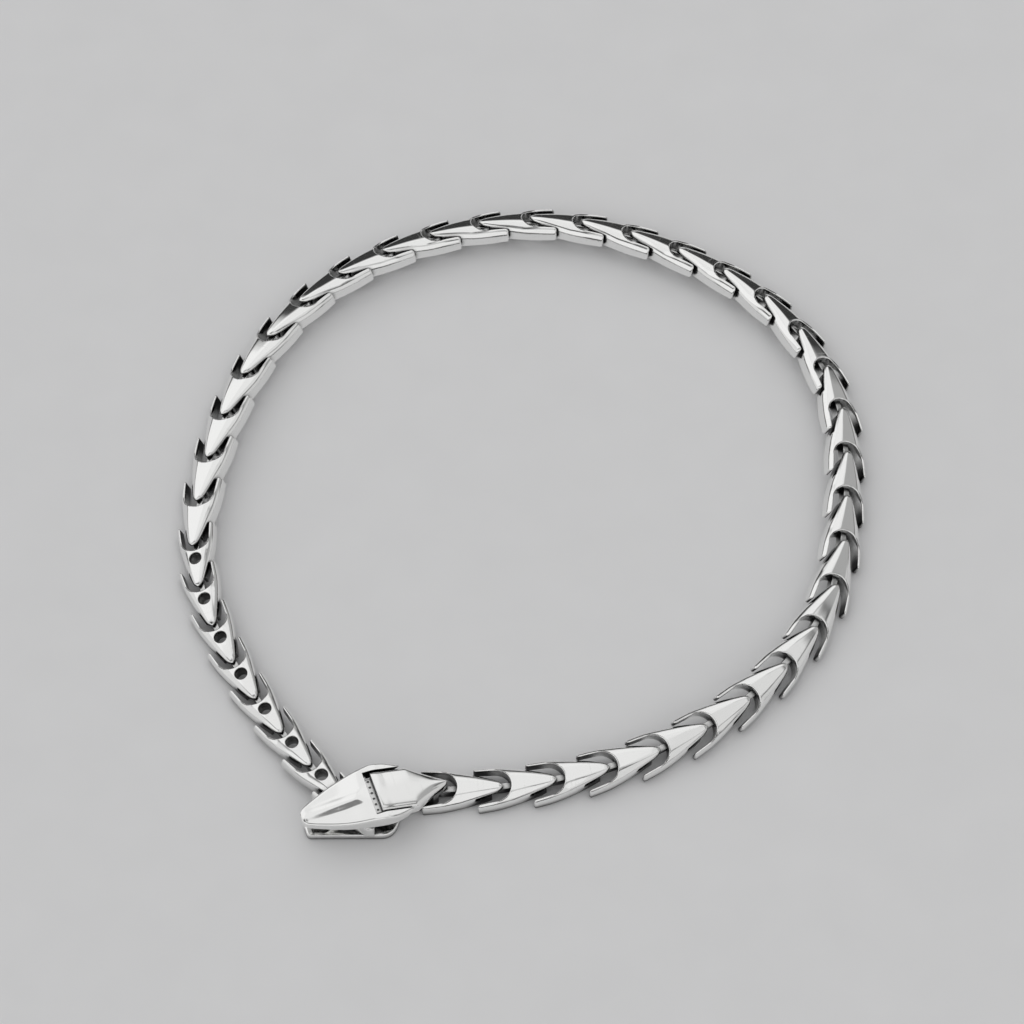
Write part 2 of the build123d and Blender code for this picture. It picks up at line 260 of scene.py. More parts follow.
def bevel_curve(t, wall, knee, top):
    """Height of a bevel's curve from the wall over its knee to the top."""
    return (1 - t) ** 2 * wall + 2 * t * (1 - t) * knee + t * t * top


class ScaleForm:
    """Outline and heights of a scale, in its own frame and in mm."""

    def __init__(self, size):
        """Places along the scale, from its prongs to its point."""
        self.size = size
        self.prongs = -PIVOT_SETBACK * size
        self.length = SCALE_LENGTH * size
        self.point = self.prongs + self.length
        self.half = SCALE_WIDTH * size / 2
        self.thickness = SCALE_THICKNESS * size
        self.notch_open = self.half - PRONG_WIDTH * size
        self.notch_half = self.notch_open - NOTCH_NARROWING * size
        self.notch_end = self.prongs + NOTCH_DEPTH * size
        self.notch_arc = self.notch_end - self.notch_half
        self.round_from = self.point - POINT_ROUND * size

    def section(self, x):
        """Half width, bevel's inner edge, wall top, bevel top and crown at a place along the scale."""
        share = (x - self.prongs) / self.length
        half = smooth_row(SCALE_FORM, share, 1) * self.half
        crown = smooth_row(SCALE_FORM, share, 2) * self.thickness
        wall = smooth_row(SCALE_FORM, share, 3) * self.thickness
        if x > self.round_from:
            along = min((x - self.round_from) / (self.point - self.round_from), 1)
            fall = math.sqrt(max(1 - along * along, 0))
            half *= fall
            crown -= POINT_DROP * self.size * (1 - fall)
            wall -= POINT_DROP * self.size * (1 - fall)
        grown = min((x - self.prongs) / (self.notch_end - self.prongs), 1)
        inner = half * (1 - BEVEL_SHARE * (PRONG_BEVEL + (1 - PRONG_BEVEL) * grown * grown))
        top = wall + (crown - wall) * BEVEL_RISE
        return half, inner, wall, top, crown

    def bevel_point(self, x, t):
        """A point on the side's bevel: t is 0 at the wall and 1 at the face's edge."""
        half, inner, wall, top, _ = self.section(x)
        knee = max(top - (half - inner) * BEVEL_SLOPE, wall)
        return half - t * t * (half - inner), bevel_curve(t, wall, knee, top)

    def height(self, x, y):
        """Height of the polished face or the bevel over a point of the plan."""
        half, inner, _, top, crown = self.section(x)
        y = abs(y)
        if y <= inner or half - inner < TINY:
            return crown - (crown - top) * (y / max(inner, TINY)) ** FACE_POWER
        t = math.sqrt(min(max((half - y) / (half - inner), 0), 1))
        return self.bevel_point(x, t)[1]

    def notch(self, share):
        """A point of the notch's edge in plan and the way into the metal; share runs to its middle."""
        straight = self.notch_arc - self.prongs
        arc = self.notch_half * math.pi / 2
        run = share * (straight + arc)
        if run < straight:
            t = run / straight
            y = self.notch_open + (self.notch_half - self.notch_open) * t
            return Vector((self.prongs + run, y)), Vector((0, 1))
        turn = (run - straight) / self.notch_half
        way = Vector((math.sin(turn), math.cos(turn)))
        return Vector((self.notch_arc, 0)) + way * self.notch_half, way


def outer_rows(form, x, clip):
    """Points up the outer side at x: round foot, wall and bevel, as far in as clip."""
    half, inner, wall = form.section(x)[:3]
    foot = min(FOOT_ROUND, half * FOOT_SHARE)
    rows = []
    for i in range(FOOT_STEPS):
        turn = i * math.pi / 2 / FOOT_STEPS
        rows.append((x, half - foot + foot * math.sin(turn), foot - foot * math.cos(turn)))
    for i in range(1, WALL_STEPS):
        rows.append((x, half, foot + (wall - foot) * i / WALL_STEPS))
    reach = 1.0
    if clip > inner and half > inner:
        reach = math.sqrt(min(max((half - clip) / (half - inner), 0), 1))
    for step in BEVEL_STEPS:
        rows.append((x, *form.bevel_point(x, step * reach)))
    return rows


def add_face_rows(column, form, target):
    """Carry a column on over the face, from its last point to a target in plan."""
    last = Vector(column[-1][:2])
    for i in range(1, FACE_ROWS + 1):
        spot = last.lerp(target, (i / FACE_ROWS) ** FACE_SPACING)
        column.append((spot.x, max(spot.y, 0), form.height(spot.x, spot.y)))


def notch_columns(form, split):
    """Rings of points round one prong and along the notch, from the prong's end to the split."""
    rim = RIM_ROUND * form.size
    columns = []
    for j in range(NOTCH_COLUMNS + 1):
        share = j / NOTCH_COLUMNS
        edge, way = form.notch(share)
        lead = form.prongs + PRONG_ROUND * form.size * (1 - share)
        if j == 0:
            edge.x = lead
        crowded = (1 - COLUMN_CROWDING) * share + COLUMN_CROWDING * share * share
        x = lead + (split - lead) * crowded
        start = edge + way * rim
        half, inner = form.section(x)[:2]
        column = outer_rows(form, x, max(inner, start.y + NARROWEST_FACE * (half - start.y)))
        add_face_rows(column, form, start)
        rim_top = column[-1][2]
        for i in range(1, RIM_STEPS + 1):
            turn = i / RIM_STEPS * math.pi / 2
            spot = edge + way * rim * (1 - math.sin(turn))
            column.append((spot.x, spot.y, rim_top - rim * (1 - math.cos(turn))))
        low = column[-1][2]
        for i in range(1, WALL_STEPS + 1):
            column.append((edge.x, edge.y, low + (FOOT_ROUND - low) * i / WALL_STEPS))
        column.append((edge.x + way.x * FOOT_ROUND, edge.y + way.y * FOOT_ROUND, 0))
        columns.append(column)
    return columns


def body_columns(form, split):
    """Columns of points from the foot over the face to the middle, from the split to the point."""
    first_middle = form.notch_end + RIM_ROUND * form.size
    last_middle = form.point - POINT_ROUND / 2 * form.size
    xs = [split + (form.round_from - split) * t for t in spread(0, 1, BODY_COLUMNS)]
    for i in range(1, POINT_COLUMNS + 1):
        turn = i / POINT_COLUMNS * math.pi / 2
        xs.append(form.round_from + (form.point - form.round_from) * math.sin(turn))
    columns = []
    for n, x in enumerate(xs):
        t = n / (len(xs) - 1)
        column = outer_rows(form, x, form.section(x)[1])
        middle = first_middle + (last_middle - first_middle) * t**MIDDLE_SPACING
        add_face_rows(column, form, Vector((middle, 0)))
        first_foot = form.notch_end + FOOT_ROUND
        column.append((first_foot + (last_middle - first_foot) * t, 0, 0))
        columns.append(column)
    return columns


def prong_end(column, form):
    """Columns that round off a prong's blunt end, drawn in towards the middle of its section."""
    r = PRONG_ROUND * form.size
    ys = [p[1] for p in column]
    zs = [p[2] for p in column]
    mid_y, mid_z = (min(ys) + max(ys)) / 2, (min(zs) + max(zs)) / 2
    half_y, half_z = (max(ys) - min(ys)) / 2, (max(zs) - min(zs)) / 2
    ends = []
    for turn in PRONG_TURNS:
        inset = r * (1 - math.cos(math.radians(turn)))
        x = form.prongs + r - r * math.sin(math.radians(turn))
        sy, sz = 1 - inset / half_y, 1 - inset / half_z
        ends.append([(x, mid_y + (p[1] - mid_y) * sy, mid_z + (p[2] - mid_z) * sz) for p in column])
    return ends


def scale_body(form):
    """The closed body of a scale in mm, without its hinge parts."""
    mesh = bmesh.new()
    split = form.notch_end + SPLIT_BEHIND_NOTCH * form.size
    notch = notch_columns(form, split)
    ends = prong_end(notch[0], form)
    made = add_grid(mesh, ends[::-1] + notch)
    mesh.faces.new(made[0])
    add_grid(mesh, body_columns(form, split), open_middle=True)
    return mirrored(mesh)


# Mesh work that the scales and the head share
def spread(low, high, count):
    """Evenly spaced places from low to high."""
    return [low + (high - low) * i / count for i in range(count + 1)]


def add_grid(mesh, columns, open_middle=False):
    """Quads between neighbouring rings of points. With open_middle, the side between the last two
    points of a ring lies on the middle plane and stays open, for the mirrored half to close."""
    made = [[mesh.verts.new(p) for p in column] for column in columns]
    for left, right in zip(made, made[1:]):
        count = len(left)
        for i in range(count):
            if open_middle and i == count - 2:
                continue
            k = (i + 1) % count
            corners = []
            for v in (left[i], right[i], right[k], left[k]):
                if all((v.co - c.co).length > SAME_SPOT for c in corners):
                    corners.append(v)
            if len(corners) > 2:
                mesh.faces.new(corners)
    return made


def mirrored(mesh):
    """A half body joined to its twin on the other side of the middle plane."""
    bmesh.ops.remove_doubles(mesh, verts=mesh.verts, dist=WELD)
    half = mesh.verts[:] + mesh.edges[:] + mesh.faces[:]
    twins = bmesh.ops.duplicate(mesh, geom=half)["geom"]
    for v in twins:
        if isinstance(v, bmesh.types.BMVert):
            v.co.y = -v.co.y
    bmesh.ops.reverse_faces(mesh, faces=[f for f in twins if isinstance(f, bmesh.types.BMFace)])
    bmesh.ops.remove_doubles(mesh, verts=mesh.verts, dist=WELD)
    bmesh.ops.recalc_face_normals(mesh, faces=mesh.faces)
    return mesh


def new_object(name, mesh):
    """An object that holds a bmesh."""
    data = bpy.data.meshes.new(name)
    mesh.to_mesh(data)
    mesh.free()
    obj = bpy.data.objects.new(name, data)
    bpy.context.scene.collection.objects.link(obj)
    return obj


def block(x, y, z):
    """A box between pairs of limits along x, y and z."""
    mesh = bmesh.new()
    bmesh.ops.create_cube(mesh, size=1)
    for v in mesh.verts:
        for i, (low, high) in enumerate((x, y, z)):
            v.co[i] = high if v.co[i] > 0 else low
    return mesh


def skinned(rings):
    """A closed body over rings of points, with a flat cap at each end."""
    mesh = bmesh.new()
    made = [[mesh.verts.new(p) for p in ring] for ring in rings]
    for low, high in zip(made, made[1:]):
        for i in range(len(low)):
            k = (i + 1) % len(low)
            mesh.faces.new((low[i], low[k], high[k], high[i]))
    mesh.faces.new(made[0])
    mesh.faces.new(made[-1])
    bmesh.ops.recalc_face_normals(mesh, faces=mesh.faces)
    return mesh


def turned(profile, centre, along, sides=BORE_SIDES):
    """A closed turned body from (radius, distance along) pairs, about x, y or z through a centre."""
    rings = []
    for radius, run in profile:
        ring = []
        for i in range(sides):
            turn = 2 * math.pi * i / sides
            spot = [radius * math.cos(turn), radius * math.sin(turn)]
            spot.insert(along, run)
            ring.append([a + b for a, b in zip(spot, centre)])
        rings.append(ring)
    return skinned(rings)


def cross_bar(radius, reach, x, z, sides=BORE_SIDES):
    """A round bar from side to side at x and height z, as a pin or to drill with."""
    return turned([(radius, -reach), (radius, reach)], (x, 0, z), 1, sides)


def cut(mesh):
    """A step that takes a shape away."""
    return "DIFFERENCE", mesh


def join(mesh):
    """A step that adds a shape."""
    return "UNION", mesh


def combined(body, steps):
    """A body after joining and cutting other shapes, which are used up."""
    for work, mesh in steps:
        other = new_object("tool", mesh)
        change = body.modifiers.new(work, "BOOLEAN")
        change.operation = work
        change.solver = "EXACT"
        change.object = other
        bpy.context.view_layer.update()
        seen = body.evaluated_get(bpy.context.evaluated_depsgraph_get())
        result = bpy.data.meshes.new_from_object(seen)
        body.modifiers.clear()
        old, used = body.data, other.data
        body.data = result
        bpy.data.objects.remove(other)
        bpy.data.meshes.remove(old)
        bpy.data.meshes.remove(used)
    return body


def rounded(mesh, width):
    """A mesh with its sharp edges rounded."""
    sharp = [e for e in mesh.edges if e.calc_face_angle(0) > SHARP]
    bmesh.ops.bevel(
        mesh, geom=sharp, offset=width, segments=2, profile=0.5, affect="EDGES", clamp_overlap=True
    )
    return mesh


def finished(obj):
    """Size a piece from mm to metres, weld it, and keep only its real edges sharp."""
    mesh = bmesh.new()
    mesh.from_mesh(obj.data)
    bmesh.ops.remove_doubles(mesh, verts=mesh.verts, dist=FINE_WELD)
    bmesh.ops.dissolve_degenerate(mesh, edges=mesh.edges, dist=FINE_WELD)
    bmesh.ops.scale(mesh, vec=(MM, MM, MM), verts=mesh.verts)
    for face in mesh.faces:
        face.smooth = True
    for edge in mesh.edges:
        edge.smooth = edge.calc_face_angle(0) < SHARP
    mesh.to_mesh(obj.data)
    mesh.free()
    # Where two undersides lay in one plane, a join leaves some faces double: one of each goes
    obj.data.validate()
    return obj


# Scales
def make_tongue(form, half_width):
    """The tongue that runs from the notch to the eye, with the eye's bore."""
    eye = EYE_RADIUS * form.size
    root = form.notch_end + TONGUE_ROOT * form.size
    strip = block((0, root), (-half_width, half_width), (0, 2 * eye))
    tongue = new_object("tongue", rounded(strip, SOFT_EDGE))
    soft_ends = [
        (eye - SOFT_EDGE, -half_width),
        (eye, SOFT_EDGE - half_width),
        (eye, half_width - SOFT_EDGE),
        (eye - SOFT_EDGE, half_width),
    ]
    barrel = turned(soft_ends, (0, 0, eye), 1)
    combined(tongue, [join(barrel), cut(cross_bar(EYE_BORE * form.size, PAST, 0, eye))])
    mesh = bmesh.new()
    mesh.from_mesh(tongue.data)
    bpy.data.objects.remove(tongue)
    return mesh


def make_scale(name, size, holed, carries_next):
    """One finished scale in its own frame: body, tongue with its eye, pocket, ears, pin and hole."""
    form = ScaleForm(size)
    pivot = PITCH * size
    eye = EYE_RADIUS * size
    tongue = EYE_WIDTH * size / 2
    pocket = tongue + POCKET_SIDE * size
    roof = 2 * eye + POCKET_ROOM
    beyond = form.point + PAST
    ears_end = pivot + (PIN_RADIUS + EAR_BEYOND_PIN) * size
    steps = []
    if carries_next:
        steps.append(cut(block((pivot - eye - POCKET_ROOM, beyond), (-pocket, pocket), (-PAST, roof))))
        steps.append(cut(block((ears_end, beyond), (-form.half, form.half), (-PAST, roof))))
        steps.append(join(cross_bar(PIN_RADIUS * size, pocket + PIN_SEAT * size, pivot, eye, PIN_SIDES)))
    steps.append(join(make_tongue(form, tongue)))
    if holed:
        x = form.point - HOLE_FROM_POINT
        top = form.height(x, 0)
        drill = [(HOLE_RADIUS, -PAST)]
        drill += [(HOLE_RADIUS + wider, top + rise) for wider, rise in COUNTERSINK]
        steps.append(cut(turned(drill, (x, 0, 0), 2, HOLE_SIDES)))
    return finished(combined(new_object(name, scale_body(form)), steps))


# Forms of the head
def blunt(along):
    """How much is left of a width at a share of the way along a blunt rounded end."""
    return max(1 - min(max(along, 0), 1) ** BLUNT_POWER, 0) ** (1 / BLUNT_POWER)


def head_section(x):
    """Half width, shoulder's inner edge, wall top, shoulder top and crown of the head at x."""
    share = (x + NECK_POINT) / HEAD_LENGTH
    width = smooth_row(HEAD_FORM, share, 1)
    if x < SLOT_AT:
        width = max(width, CHEEK_SPREAD)
    half = width * HEAD_WIDTH / 2
    crown = smooth_row(HEAD_FORM, share, 2) * HEAD_HEIGHT
    wall = smooth_row(HEAD_FORM, share, 3) * HEAD_HEIGHT
    left = blunt((x - NOSE + NOSE_ROUND) / NOSE_ROUND)
    half *= NOSE_FLAT + (1 - NOSE_FLAT) * left
    drop = NOSE_DROP * (1 - left)
    top = wall + (crown - wall) * FACET_FALL
    inner = half - min(SHOULDER, SHOULDER_SHARE * half)
    return half, inner, top - drop - SHOULDER, top - drop, crown - drop


def snout_roof(x, y):
    """The snout's top: a ridge with a cove and a facet on each side, and a facet that falls to the slot."""
    _, inner, _, top, crown = head_section(x)
    side = min(abs(y) / inner, 1)
    cove = min(max((abs(y) - RIDGE_HALF) / COVE_WIDTH, 0), 1)
    depth = min(COVE_DEPTH, COVE_SHARE * (crown - top))
    sunk = depth * cove * cove * (3 - 2 * cove)
    roof = crown - sunk - (crown - top - depth) * side
    edge = head_section(SNOUT_REAR)[3]
    rise = (head_section(RIDGE_APEX)[4] - edge) / (RIDGE_APEX - SNOUT_REAR)
    rear = edge + rise * max(x - SNOUT_REAR, 0)
    near = max(SLOT_BLEND - abs(roof - rear), 0) / SLOT_BLEND
    return min(roof, rear) - near * near * SLOT_BLEND / 4


def crown_section(x):
    """Half width, shoulder's inner edge, wall top, shoulder top and middle of the crown at x."""
    share = (x + NECK_POINT) / HEAD_LENGTH
    half = min(smooth_row(HEAD_FORM, share, 1) * HEAD_WIDTH / 2, CROWN_HALF)
    half *= TIP_FLAT + (1 - TIP_FLAT) * blunt((TIP_ROUND - NECK_POINT - x) / TIP_ROUND)
    crown = smooth_row(HEAD_FORM, share, 2) * HEAD_HEIGHT
    inner = half - min(CROWN_SHOULDER, CROWN_SHOULDER_SHARE * half)
    return half, inner, crown - CROWN_SIDE, crown - CROWN_DOME, crown


def crown_roof(x, y):
    """The crown's top: a low dome from side to side."""
    _, inner, _, top, crown = crown_section(x)
    return crown - (crown - top) * min(abs(y) / inner, 1) ** 2


def hull(xs, section, roof, base):
    """A closed long body with a flat underside; section gives its side and roof its top."""
    mesh = bmesh.new()
    columns = []
    for x in xs:
        half, inner, wall = section(x)[:3]
        top = roof(x, inner)
        knee = wall + (top - wall) * KNEE
        column = [(x, half, z) for z in spread(base, wall, WALL_STEPS)[:-1]]
        column += [(x, half - t * t * (half - inner), bevel_curve(t, wall, knee, top)) for t in BEVEL_STEPS]
        column += [(x, y, roof(x, y)) for y in spread(inner, 0, ROOF_STEPS)[1:]]
        column.append((x, 0, base))
        columns.append(column)
    made = add_grid(mesh, columns, open_middle=True)
    mesh.faces.new(made[0])
    mesh.faces.new(made[-1])
    return mirrored(mesh)


def snout_room(xs, base):
    """The room inside the snout, a wall's thickness within its outer form."""

    def section(x):
        """The outer section drawn in: its side fully, its shoulder and wall top a little less."""
        half, inner, wall = head_section(x)[:3]
        return half - SNOUT_WALL, inner - SNOUT_WALL * ROOM_SHOULDER, wall - SNOUT_WALL * ROOM_SIDE

    return hull(xs, section, lambda x, y: snout_roof(x, y) - SNOUT_WALL, base)


def prism(corners, reach):
    """A block with the given corners in the side view, x and height, that reaches to both sides."""
    return skinned([[(x, y, z) for x, z in corners] for y in (-reach, reach)])


def round_corners(corners):
    """A closed outline with each corner, given as x, y and radius, drawn as an arc."""
    outline = []
    for i, (x, y, radius) in enumerate(corners):
        spot = Vector((x, y))
        before = (Vector(corners[i - 1][:2]) - spot).normalized()
        after = (Vector(corners[(i + 1) % len(corners)][:2]) - spot).normalized()
        half_turn = before.angle(after) / 2
        centre = spot + (before + after).normalized() * radius / math.sin(half_turn)
        start = spot + before * radius / math.tan(half_turn) - centre
        end = spot + after * radius / math.tan(half_turn) - centre
        turn = math.atan2(start.x * end.y - start.y * end.x, start.dot(end))
        for part in spread(0, turn, CORNER_STEPS):
            outline.append(centre + Matrix.Rotation(part, 2) @ start)
    return outline


def jaw_plate():
    """The jaw plate with rounded corners and softened edges."""
    outline = round_corners(JAW_CORNERS + [(x, -y, radius) for x, y, radius in reversed(JAW_CORNERS)])
    middle = sum(outline, Vector((0, 0))) / len(outline)
    rings = []
    for inset, z in JAW_EDGE:
        rings.append([(*(p - (p - middle).normalized() * inset), z) for p in outline])
    return skinned(rings)


def make_snout():
    """The upper jaw: ridged top, two cheeks with slanted ends, hollow underneath."""
    xs = spread(SNOUT_START, NOSE - NOSE_ROUND, SNOUT_COLUMNS)
    turns = spread(0, math.pi / 2, NOSE_COLUMNS)[1:]
    xs += [NOSE - NOSE_ROUND + NOSE_ROUND * math.sin(turn) for turn in turns]
    body = new_object("snake_snout", hull(xs, head_section, snout_roof, RIM_HEIGHT))
    high, low = HEAD_HEIGHT + PAST, RIM_HEIGHT - PAST
    cheek_ends = [
        (0, high),
        (CHEEK_TOP + CHEEK_LEAN, high),
        (CHEEK_TOP, HINGE_HEIGHT + HINGE_RADIUS),
        (CHEEK_BOTTOM, RIM_HEIGHT),
        (CHEEK_BOTTOM, low),
        (0, low),
    ]
    room = spread(ROOM_REAR, NOSE - 2 * SNOUT_WALL, ROOM_COLUMNS)
    steps = [
        cut(block((0, SNOUT_REAR), (-CHEEK_INNER, CHEEK_INNER), (low, high))),
        cut(prism(cheek_ends, HEAD_WIDTH)),
        cut(snout_room(room, low)),
        cut(cross_bar(HINGE_BORE, HINGE_REACH, HINGE_AT, HINGE_HEIGHT)),
    ]
    return finished(combined(body, steps))


def neck_steps(neck_pin):
    """Steps that leave the neck under the crown, with the pocket, ears and pin of the first scale."""
    pocket_top = neck_pin + EYE_RADIUS + POCKET_ROOM
    pocket_end = EYE_RADIUS + POCKET_ROOM
    whole = (-HEAD_LENGTH, HEAD_LENGTH)
    under = (-PAST, CROWN_FLOOR)
    pocket = (-PAST, pocket_top)
    shaping = [
        cut(block(whole, (NECK_HALF, HEAD_WIDTH), under)),
        cut(block(whole, (-HEAD_WIDTH, -NECK_HALF), under)),
        cut(block((NECK_END, HEAD_LENGTH), (-HEAD_WIDTH, HEAD_WIDTH), under)),
    ]
    joint = [
        cut(block((-HEAD_LENGTH, pocket_end), (-NECK_POCKET, NECK_POCKET), pocket)),
        cut(block((-HEAD_LENGTH, NECK_EARS_END), (-HEAD_WIDTH, HEAD_WIDTH), pocket)),
        join(cross_bar(PIN_RADIUS, NECK_POCKET + PIN_SEAT, 0, neck_pin, PIN_SIDES)),
    ]
    return shaping, joint


def ledge_dots():
    """Steps that sink the row of dots across the ledge, where the slot shows it."""
    x = (SLOT_AT + SNOUT_REAR) / 2
    pitch = 2 * LEDGE_HALF / DOT_COUNT
    dot = [(DOT_BOTTOM, LEDGE_TOP - DOT_DEPTH), (DOT_RADIUS, LEDGE_TOP - DOT_CORNER)]
    dot.append((DOT_RADIUS, LEDGE_TOP + DOT_DRILL))
    ys = [(i - (DOT_COUNT - 1) / 2) * pitch for i in range(DOT_COUNT)]
    return [cut(turned(dot, (x, y, 0), 2, DOT_SIDES)) for y in ys]


def make_head(neck_pin):
    """Crown, neck, dotted ledge, jaw plate and peg, cast and soldered as one piece."""
    turns = spread(math.pi / 2, 0, TIP_COLUMNS)
    xs = [-NECK_POINT + TIP_ROUND * (1 - math.sin(turn)) for turn in turns]
    xs += spread(TIP_ROUND - NECK_POINT, SLOT_AT, CROWN_COLUMNS)[1:]
    body = new_object("snake_head", hull(xs, crown_section, crown_roof, NECK_FLOOR))
    ledge = block(
        (SLOT_AT - LEDGE_REACH, SLOT_AT + LEDGE_REACH),
        (-LEDGE_HALF, LEDGE_HALF),
        (LEDGE_TOP - LEDGE_THICKNESS, LEDGE_TOP),
    )
    peg_end = TAIL_TOP + PEG_RISE
    peg = [(PEG_RADIUS, JAW_THICKNESS - PEG_SEAT)]
    peg += [(PEG_RADIUS - inset, peg_end - below) for inset, below in PEG_TOP]
    shaping, joint = neck_steps(neck_pin)
    steps = [
        *shaping,
        join(rounded(ledge, SOFT_EDGE)),
        *joint,
        join(jaw_plate()),
        join(turned(peg, (PEG_AT, 0, 0), 2, HOLE_SIDES)),
        cut(cross_bar(HINGE_BORE, HEAD_WIDTH, HINGE_AT, HINGE_HEIGHT)),
        *ledge_dots(),
    ]
    return finished(combined(body, steps))


# Where each scale lies
SLIVER = 1e-6
SAME_WAY = 0.9999
# Any level way will do to start from, as no scale faces level
LEVEL_WAY = (1.0, 0.3, 0.0)


def placed(axes, origin):
    """The matrix that lays a piece's x, y and z along three axes from an origin."""
    place = Matrix.Identity(4)
    for column, axis in enumerate((*axes, origin)):
        for row in range(3):
            place[row][column] = axis[row]
    return place


def solid_faces(node):
    """Points of a solid, and its triangles' corners, normals and areas, slivers left out."""
    data = frame["nodes"][node].data
    data.calc_loop_triangles()
    spots = np.array([v.co[:] for v in data.vertices], float)
    corners = spots[np.array([t.vertices[:] for t in data.loop_triangles])]
    cross = np.cross(corners[:, 1] - corners[:, 0], corners[:, 2] - corners[:, 0])
    area = np.linalg.norm(cross, axis=1) / 2
    keep = area > area.max() * SLIVER
    corners, cross, area = corners[keep], cross[keep], area[keep]
    return spots, corners, cross / (2 * area[:, None]), area


def way_out(normal, area):
    """The way out of a scale's face, away from its largest flat side, the underside."""
    same = (normal @ normal.T) > SAME_WAY
    biggest = np.argmax(same @ area)
    under = (normal[same[biggest]] * area[same[biggest]][:, None]).sum(0)
    return -under / np.linalg.norm(under)


def cone_volumes(corners):
    """Signed volumes between the origin and each triangle."""
    return np.einsum("ij,ij->i", corners[:, 0], np.cross(corners[:, 1], corners[:, 2])) / 6


def long_way(corners, out):
    """The longest axis of a solid in the plane of its underside, from its moments of volume."""
    side = np.cross(out, LEVEL_WAY)
    side /= np.linalg.norm(side)
    ahead = np.cross(side, out)
    local = corners @ np.stack((ahead, side, out)).T
    volume = cone_volumes(local)
    local = local - (volume[:, None] * local.sum(1) / 4).sum(0) / volume.sum()
    volume = cone_volumes(local)
    sums = local.sum(1)
    products = sum(local[:, k, :, None] * local[:, k, None, :] for k in range(3))
    products = products + sums[:, :, None] * sums[:, None, :]
    moments = (products * volume[:, None, None]).sum(0) / 20
    turn = 0.5 * math.atan2(2 * moments[0, 1], moments[0, 0] - moments[1, 1])
    return math.cos(turn) * ahead + math.sin(turn) * side


def lie_of(node, size):
    """Where a scale lies, read from its solid: x to its point, y across, z out of its face."""
    spots, corners, normal, area = solid_faces(node)
    out = way_out(normal, area)
    middle = spots.mean(0)
    x_axis = long_way(corners - middle, out)
    y_axis = np.cross(out, x_axis)
    along = (spots - middle) @ x_axis
    across = np.abs((spots - middle) @ y_axis)
    if np.corrcoef(along, across)[0, 1] > 0:
        x_axis, y_axis = -x_axis, -y_axis
    xs, ys, zs = spots @ x_axis, spots @ y_axis, spots @ out
    origin = x_axis * (xs.min() + PIVOT_SETBACK * size * MM)
    origin = origin + y_axis * (ys.min() + ys.max()) / 2 + out * zs.min()
    return placed((x_axis, y_axis, out), origin)


# Finishes
FLOAT, VECTOR = "NodeSocketFloat", "NodeSocketVector"
LINE_ROUGHNESS = 0.5
SCRATCH_ROUGHNESS = 0.16
RECESS_ROUGHNESS = 0.25
EDGE_POLISH = 0.04
EDGE_SOFTNESS = 0.05
EDGE_REACH = 0.12
WIPING_TURN = math.radians(14)
SCRATCH_TURN = math.radians(-38)
# How much of the surroundings a point sees, in the open and deep in a recess: between them the painted
# shade in the metals' colour grows from none to full
OPEN_VIEW, DEEP_VIEW = 0.86, 0.48


class Graph:
    """Makes and joins the nodes of one material, group or world."""

    def __init__(self, tree):
        """The node tree to work in."""
        self.tree = tree

    def feed(self, socket, value):
        """Give a socket a plain value or another node's output."""
        if isinstance(value, bpy.types.NodeSocket):
            self.tree.links.new(value, socket)
        else:
            socket.default_value = value

    def add(self, kind, sockets, **settings):
        """A new node's outputs, after its settings and then its sockets are filled in."""
        node = self.tree.nodes.new("ShaderNode" + kind)
        for name, value in settings.items():
            setattr(node, name, value)
        for key, value in sockets.items():
            self.feed(node.inputs[key], value)
        return node.outputs

    def maths(self, work, *values, clamped=False):
        """The result of one step of arithmetic."""
        return self.add("Math", dict(enumerate(values)), operation=work, use_clamp=clamped)[0]

    def ramp(self, value, low, high, to_low=0, to_high=1, kind="LINEAR"):
        """A value moved from one range to another, and held within it."""
        ends = {"Value": value, "From Min": low, "From Max": high, "To Min": to_low, "To Max": to_high}
        return self.add("MapRange", ends, interpolation_type=kind)["Result"]

    def blend(self, share, first, second):
        """A colour between two others."""
        colours = {"Factor": share, "A": (*first, 1), "B": (*second, 1)}
        return self.add("Mix", colours, data_type="RGBA")["Result"]


def new_group(name, takes, gives):
    """The graph of a new node group, what it is given and the sockets that it puts out."""
    tree = bpy.data.node_groups.new(name, "ShaderNodeTree")
    for label, kind, value in takes:
        socket = tree.interface.new_socket(label, in_out="INPUT", socket_type=kind)
        if value is not None:
            socket.default_value = value
    for label in gives:
        tree.interface.new_socket(label, in_out="OUTPUT", socket_type=FLOAT)
    return Graph(tree), tree.nodes.new("NodeGroupInput").outputs, tree.nodes.new("NodeGroupOutput").inputs


def new_material(name):
    """A new material with its graph and the sockets of its shader."""
    material = bpy.data.materials.new(name)
    material.use_nodes = True
    return material, Graph(material.node_tree), material.node_tree.nodes["Principled BSDF"].inputs


